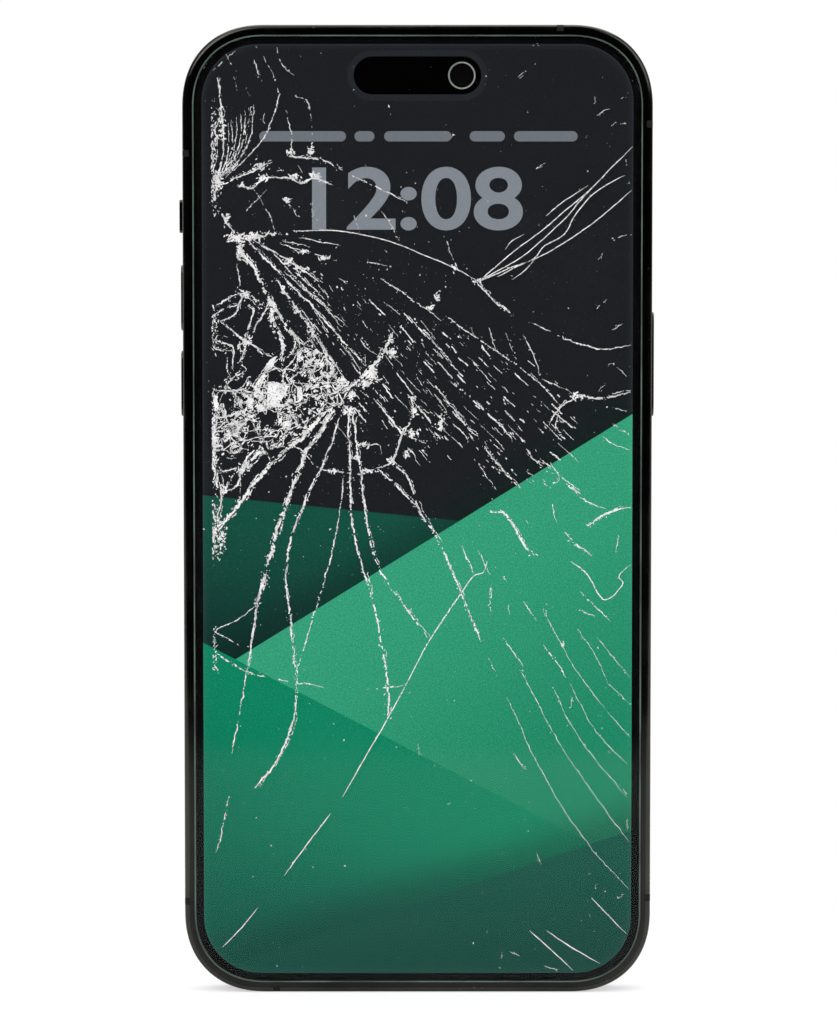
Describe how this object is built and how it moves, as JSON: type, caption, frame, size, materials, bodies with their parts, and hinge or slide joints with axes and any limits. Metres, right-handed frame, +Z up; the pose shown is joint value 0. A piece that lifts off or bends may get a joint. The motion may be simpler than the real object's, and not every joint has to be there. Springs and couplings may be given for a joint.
{
  "type": "smartphone with shattered screen",
  "caption": "Large flat-sided smartphone with a shattered front glass over a lit screen, sprung side buttons, a sliding ring switch and a card tray.",
  "frame": {"origin": "middle of the box, on the surface that the phone's lower edge stands on", "axes": "+X to the right seen from the front, +Y to the back, +Z up the phone; the screen faces -Y"},
  "size_m": [0.0786, 0.012, 0.1607],
  "materials": {
    "polished_frame": "mirror polished near-black steel with fine dust and scuffs",
    "bright_steel": "polished steel",
    "pressed_metal": "pressed, satin",
    "cracked_glass": "clear cover glass, shattered, with white fracture faces",
    "rear_glass": "frosted dark rear glass",
    "lens_cover": "clear lens cover",
    "gasket": "grey-green gasket, dusty",
    "lit_screen": "lit display behind the cover glass",
    "camera_ring": "pale ring",
    "lens_glass": "coated lens, near black",
    "black_plastic": "moulded",
    "antenna_plastic": "moulded, dark",
    "contact_gold": "gold plated",
    "coil_copper": "wound copper",
    "circuit_board": "solder mask",
    "flex_film": "polyimide film",
    "card_plastic": "moulded card",
    "emitter_plastic": "diffuser"
  },
  "bodies": {
    "phone": {"side_frame": "polished_frame", "antenna_strip_left_upper": "antenna_plastic", "antenna_strip_left_lower": "antenna_plastic", "antenna_strip_right_upper": "antenna_plastic", "antenna_strip_right_lower": "antenna_plastic", "antenna_strip_top": "antenna_plastic", "antenna_strip_bottom": "antenna_plastic", "front_glass": "cracked_glass", "display_gasket": "gasket", "display_panel": "lit_screen", "display_backplate": "bright_steel", "bottom_screw_left": "bright_steel", "bottom_screw_right": "bright_steel", "haptic_motor": "bright_steel", "connector_cover": "bright_steel", "camera_ring_wide": "bright_steel", "camera_ring_main": "bright_steel", "camera_ring_tele": "bright_steel", "rear_glass": "rear_glass", "camera_cover_wide": "lens_cover", "camera_cover_main": "lens_cover", "camera_cover_tele": "lens_cover", "flash_window": "lens_cover", "depth_sensor_window": "lens_cover", "front_camera": "camera_ring", "front_camera_lens": "lens_glass", "face_sensor": "black_plastic", "earpiece_mesh": "black_plastic", "earpiece_speaker": "black_plastic", "battery": "black_plastic", "loudspeaker": "black_plastic", "charge_port": "black_plastic", "camera_module_wide": "black_plastic", "camera_module_main": "black_plastic", "camera_module_tele": "black_plastic", "chassis_plate": "pressed_metal", "camera_cage": "pressed_metal", "board_shield": "pressed_metal", "sim_reader": "pressed_metal", "side_switch": "pressed_metal", "volume_switch": "pressed_metal", "ring_switch_slider": "pressed_metal", "magnet_ring": "pressed_metal", "charge_port_contacts": "contact_gold", "bottom_microphone": "contact_gold", "charging_coil": "coil_copper", "logic_board": "circuit_board", "battery_adhesive_left": "flex_film", "battery_adhesive_right": "flex_film", "dock_flex": "flex_film", "display_flex": "flex_film", "flash_module": "emitter_plastic", "depth_sensor_module": "emitter_plastic"},
    "side_button": {"side_button": "polished_frame"},
    "volume_up_button": {"volume_up_button": "polished_frame"},
    "volume_down_button": {"volume_down_button": "polished_frame"},
    "ring_switch": {"ring_switch": "polished_frame"},
    "card_tray": {"sim_tray": "polished_frame", "sim_card": "card_plastic"}
  },
  "joints": [
    {"name": "side_button_press", "type": "slide", "parent": "phone", "child": "side_button", "axis": [-1, 0, 0], "range_m": [0, 0.00025], "stiffness_N_per_m": 6000},
    {"name": "volume_up_press", "type": "slide", "parent": "phone", "child": "volume_up_button", "axis": [1, 0, 0], "range_m": [0, 0.00025], "stiffness_N_per_m": 6000},
    {"name": "volume_down_press", "type": "slide", "parent": "phone", "child": "volume_down_button", "axis": [1, 0, 0], "range_m": [0, 0.00025], "stiffness_N_per_m": 6000},
    {"name": "ring_switch_slide", "type": "slide", "parent": "phone", "child": "ring_switch", "axis": [0, 1, 0], "range_m": [0, 0.0014]},
    {"name": "card_tray_slide", "type": "slide", "parent": "phone", "child": "card_tray", "axis": [-1, 0, 0], "range_m": [0, 0.016]}
  ]
}
